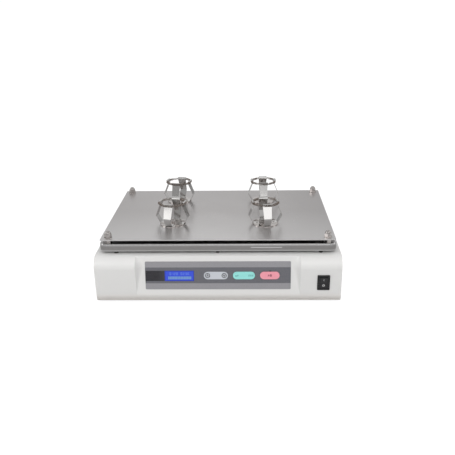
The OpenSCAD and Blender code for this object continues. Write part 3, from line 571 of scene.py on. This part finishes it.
# The marks on the keys, as outlines about a key's middle, and the lamp above the pink key.
RETURN_ARROW = [(-3.4, -0.8), (-1.0, 1.0), (-1.0, -0.3), (2.2, -0.3), (2.2, 2.0),
                (3.2, 2.0), (3.2, -1.3), (-1.0, -1.3), (-1.0, -2.6)]
ENTER_MARK = [moved(RETURN_ARROW, -3.5, 0)]
MODE_MARK = [box(3.0 + x, y, 2.6, 1.1) for x in (-3.8, 0, 3.8) for y in (-1.0, 1.0)]
RUN_MARK = [[(-3.8, -2.8), (-0.6, 0), (-3.8, 2.8)], box(2.3, 0, 3.2, 4.8), box(0, 0, 0.6, 6.0)]
RUN_LAMP = circle(0.4, 9.4, 1.4)
LAMP_THICK = 0.4

# The display: its backlight, its nine places for figures and its row of blocks.
GLASS_EDGE, GLASS_HEIGHT, GLASS_THICK = 1.5, 19.0, 0.05
INK_THICK = 0.03
READING = "0120 0230"
FIGURE_W, FIGURE_H, FIGURE_BAR, FIGURE_STEP = 2.3, 4.6, 0.6, 4.6
FIGURES_LEFT, FIGURES_UP = -18.4, 4.6
BLOCK_COUNT, BLOCK_STEP, BLOCK_SIZE = 15, 3.2, (2.7, 6.2)
BLOCKS_LEFT, BLOCKS_UP = -21.6, -4.3

# Which bars of each figure are lit: top, upper left, upper right, middle, lower left, lower right, bottom.
LIT_BARS = {"0": "1110111", "1": "0010010", "2": "1011101", "3": "1011011"}


class Panel:
    """The tilted panel: its centre is the middle of the film's face, x runs right and y up the film."""

    def __init__(self):
        self.out = -Vector(joint("run_press")["axis"]).normalized()
        self.across = Vector((1, 0, 0))
        self.up = self.out.cross(self.across)
        low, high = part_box("keypad_film")
        self.centre = (low + high) / 2 + self.out * HALF_FILM * MM

    def place(self):
        matrix = Matrix((self.across, self.up, self.out)).transposed().to_4x4()
        matrix.translation = self.centre
        return matrix

    def local(self, point):
        """A point of the frame as millimetres on the panel."""
        away = Vector(point) - self.centre
        return Vector((away.dot(self.across), away.dot(self.up), away.dot(self.out))) / MM

    def middle(self, node):
        low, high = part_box(node)
        return self.local((low + high) / 2)


def arrow_keys(panel, m):
    """The pale pill round the two round keys, and on each key a dark ring and a triangle's outline."""
    at = panel.place()
    up, down = panel.middle("key_up"), panel.middle("key_down")
    plate = pill((up.x + down.x) / 2, up.y, *ARROW_PILL)
    holes = [circle(key.x, key.y, ROUND_KEY / 2 + KEY_GAP) for key in (up, down)]
    printed("arrow_pill", [plate, *holes], at, "casing", m["lavender"])
    for body, key, turn in (("up", up, 90), ("down", down, 270)):
        ring = [circle(key.x, key.y, r) for r in ARROW_RING]
        printed(body + "_ring", ring, at, body, m["dark_ink"], KEY_TOP)
        triangle = [arc(key.x, key.y, r, turn, turn + 360, 3)[:-1] for r in ARROW_TRIANGLE]
        printed(body + "_triangle", triangle, at, body, m["dark_ink"], KEY_TOP)


def function_keys(panel, m):
    """A return arrow and two rows of bars on the teal keys, and a start-stop mark on the pink one."""
    at = panel.place()
    enter, mode, run = (panel.middle(n) for n in ("key_enter", "key_mode", "key_run"))
    seam = (panel.local(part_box("key_enter")[1]).x + panel.local(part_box("key_mode")[0]).x) / 2
    width, height, over = BRIDGE
    printed("teal_bridge", [box(seam, enter.y, width, height)], at, "casing", m["teal"], KEY_TOP + over)
    for body, key, mark, ink in (("enter", enter, ENTER_MARK, "teal_ink"),
                                 ("mode", mode, MODE_MARK, "teal_ink"),
                                 ("run", run, RUN_MARK, "pink_ink")):
        loops = [moved(loop, key.x, key.y) for loop in mark]
        printed(body + "_mark", loops, at, body, m[ink], KEY_TOP)
    printed("run_lamp", [moved(RUN_LAMP, run.x, run.y)], at, "casing", m["lamp"], 0.0, LAMP_THICK)


def figure(digit, x, y):
    """The lit bars of one digit, as outlines in millimetres about its centre."""
    w, h, t = FIGURE_W, FIGURE_H, FIGURE_BAR
    spots = [(x, y + h / 2, w, t), (x - w / 2, y + h / 4, t, h / 2), (x + w / 2, y + h / 4, t, h / 2),
             (x, y, w, t), (x - w / 2, y - h / 4, t, h / 2), (x + w / 2, y - h / 4, t, h / 2),
             (x, y - h / 2, w, t)]
    return [box(*spot) for spot, lit in zip(spots, LIT_BARS[digit]) if lit == "1"]


def display(panel, m):
    """A two-row display: digits above, a row of blocks below, on a blue backlight with a darker edge."""
    at = panel.place()
    low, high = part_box("display_window")
    centre = panel.local((low + high) / 2)
    glass = box(centre.x, centre.y, (high.x - low.x) / MM - 2 * GLASS_EDGE, GLASS_HEIGHT)
    printed("backlight", [glass], at, "casing", m["screen"], 0.0, GLASS_THICK)
    digits = [(i, digit) for i, digit in enumerate(READING) if digit != " "]
    for count, (i, digit) in enumerate(digits):
        bars = figure(digit, centre.x + FIGURES_LEFT + FIGURE_STEP * i, centre.y + FIGURES_UP)
        for k, bar in enumerate(bars):
            printed(f"digit_{count}_{k}", [bar], at, "casing", m["figure"], GLASS_THICK, INK_THICK)
    blocks = [box(centre.x + BLOCKS_LEFT + BLOCK_STEP * i, centre.y + BLOCKS_UP, *BLOCK_SIZE)
              for i in range(BLOCK_COUNT)]
    printed("block_row", blocks, at, "casing", m["block"], GLASS_THICK, INK_THICK)


# ---------------------------------------------------------------- the mains rocker

# The casing's front leans back by this much, and the button leans further at rest.
FRONT_LEAN = math.atan2(4.3, 56)
ROCKER_REST = math.radians(10)

# The button's face is a shallow V: how far its fold is from the pivot, and how each half climbs, in mm.
ROCKER_FOLD = 2.4
HALF_RISE, HALF_RUN = 1.8, 14
MARK_OUT = 6.4

# Each mark's name, its half (1 is the upper), how far up its half it is shifted, and its outlines.
ROCKER_MARKS = (
    ("rocker_bar", 1, 2.0, [box(0, 0, 0.8, 4.8)]),
    ("rocker_ring", -1, 0.8, [circle(0, 0, 2.4), circle(0, 0, 1.5)]),
)


def rocker_marks(m):
    """The bar and the ring moulded on the rocker's two halves."""
    pivot = Vector(joint("rocker_tilt")["pos_m"])
    upright = math.radians(90) + ROCKER_REST + FRONT_LEAN
    climb = math.atan2(HALF_RISE, HALF_RUN)
    for name, side, shift, loops in ROCKER_MARKS:
        spot = Vector((0, side * MARK_OUT, ROCKER_FOLD + MARK_OUT * HALF_RISE / HALF_RUN)) * MM
        tip = pivot + Matrix.Rotation(upright, 4, "X") @ spot
        turn = Matrix.Rotation(upright + side * climb, 4, "X")
        place = Matrix.Translation(tip) @ turn @ Matrix.Translation((0, shift * MM, 0))
        printed(name, loops, place, "rocker", m["white_ink"], 0.01, 0.08)


# ---------------------------------------------------------------- clamps

# How far each clamp is turned on the deck, in degrees.
CLAMP_TURNS = {"front_left": -14, "front_right": 8, "rear_left": -11, "rear_right": 1}

# Each spring: its wire's radius, the ring's radius, how many turns it has and how many steps draw a turn.
SPRING_WIRE = 0.7 * MM
SPRING_RING = 27.2 * MM
SPRING_TURNS, TURN_STEPS = 56, 14
WIRE_SIDES = 7

# The ring's outline: 0 would be a true octagon, and 1 a circle.
ROUNDNESS = 0.5

# The wire's sides are laid out from this direction, which no step of the wire follows exactly.
ASIDE = Vector((0.31, 0.22, 0.92))


def eight_sided(angle, reach):
    """How far out a ring of eight sides runs at an angle, between a true octagon and a circle."""
    off_side = (angle + math.pi / 8) % (math.pi / 4) - math.pi / 8
    return reach * (ROUNDNESS + (1 - ROUNDNESS) / math.cos(off_side))


def wire_loop(name, path):
    """The mesh of a round wire along a closed path of points in metres."""
    count = len(path)
    verts, faces = [], []
    for i, point in enumerate(path):
        along = (path[(i + 1) % count] - path[i - 1]).normalized()
        side = along.cross(ASIDE).normalized()
        other = along.cross(side)
        for k in range(WIRE_SIDES):
            a = 2 * math.pi * k / WIRE_SIDES
            verts.append(point + SPRING_WIRE * (math.cos(a) * side + math.sin(a) * other))
    for i in range(count):
        here, after = i * WIRE_SIDES, (i + 1) % count * WIRE_SIDES
        for k in range(WIRE_SIDES):
            n = (k + 1) % WIRE_SIDES
            faces.append((here + k, here + n, after + n, after + k))
    mesh = bpy.data.meshes.new(name)
    mesh.from_pydata(verts, [], faces)
    mesh.polygons.foreach_set("use_smooth", [True] * len(mesh.polygons))
    return mesh


def spring_rings(m):
    """Each ring is a coil spring bent to eight sides and hooked to itself."""
    low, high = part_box("clamp_springs")
    middle = (low.z + high.z) / 2
    coil = (high.z - low.z) / 2 - SPRING_WIRE
    steps = SPRING_TURNS * TURN_STEPS
    seats = {mount["name"].removeprefix("flask_seat_"): mount["pos_m"] for mount in frame["record"]["mounts"]
             if mount["name"].startswith("flask_seat_")}
    for seat, (x, y, _) in seats.items():
        turned = math.radians(CLAMP_TURNS[seat])
        path = []
        for i in range(steps):
            round_ring = 2 * math.pi * i / steps
            round_coil = 2 * math.pi * i / TURN_STEPS
            reach = eight_sided(round_ring, SPRING_RING) + coil * math.cos(round_coil)
            way = round_ring + turned
            path.append(Vector((x + reach * math.cos(way), y + reach * math.sin(way),
                                middle + coil * math.sin(round_coil))))
        name = "coil_" + seat
        obj = show(name, wire_loop(name, path), m["wire"])
        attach(obj, "platform")
        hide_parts("clamp_springs")


# ---------------------------------------------------------------- the scene

camera()
studio()
floor()
PANEL = Panel()
MATERIALS = make_materials(PANEL)
dress_nodes(MATERIALS)
arrow_keys(PANEL, MATERIALS)
function_keys(PANEL, MATERIALS)
display(PANEL, MATERIALS)
rocker_marks(MATERIALS)
spring_rings(MATERIALS)
